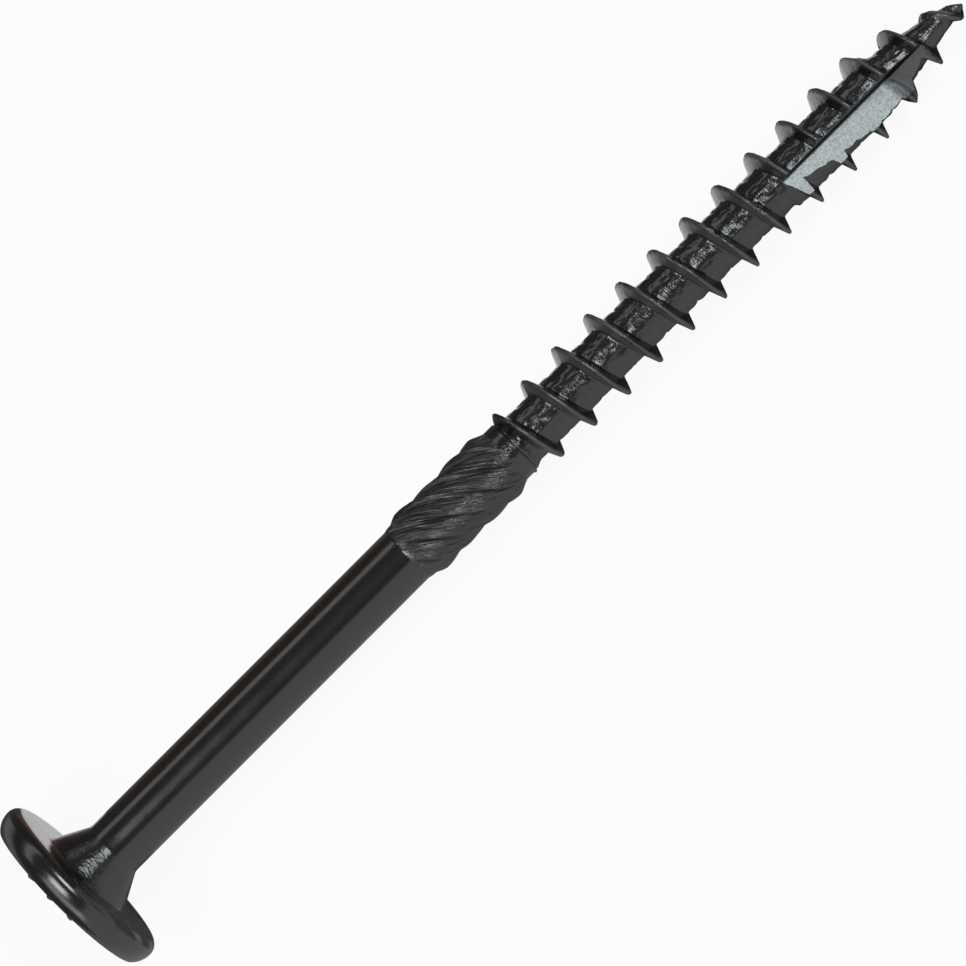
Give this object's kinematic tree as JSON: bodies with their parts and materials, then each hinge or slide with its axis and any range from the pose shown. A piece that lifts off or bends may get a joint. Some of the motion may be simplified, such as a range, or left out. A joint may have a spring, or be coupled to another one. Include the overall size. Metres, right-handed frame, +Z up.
{
  "type": "construction screw",
  "caption": "Washer-head construction screw with a star recess, plain shank, milled section, coarse right-hand thread and notched point.",
  "frame": {"origin": "centre of the bounding box at the ground the screw lies on", "axes": "+X along the length towards the tip, +Z up; the screw lies on the rim of its head and on its thread, tip down by 2.9 degrees"},
  "size_m": [0.1004, 0.016, 0.0159],
  "materials": {
    "black_coated_steel": "glossy black coating over cold-headed and rolled steel, with a fine orange peel"
  },
  "bodies": {
    "root": {"construction_screw": "black_coated_steel"}
  },
  "joints": []
}
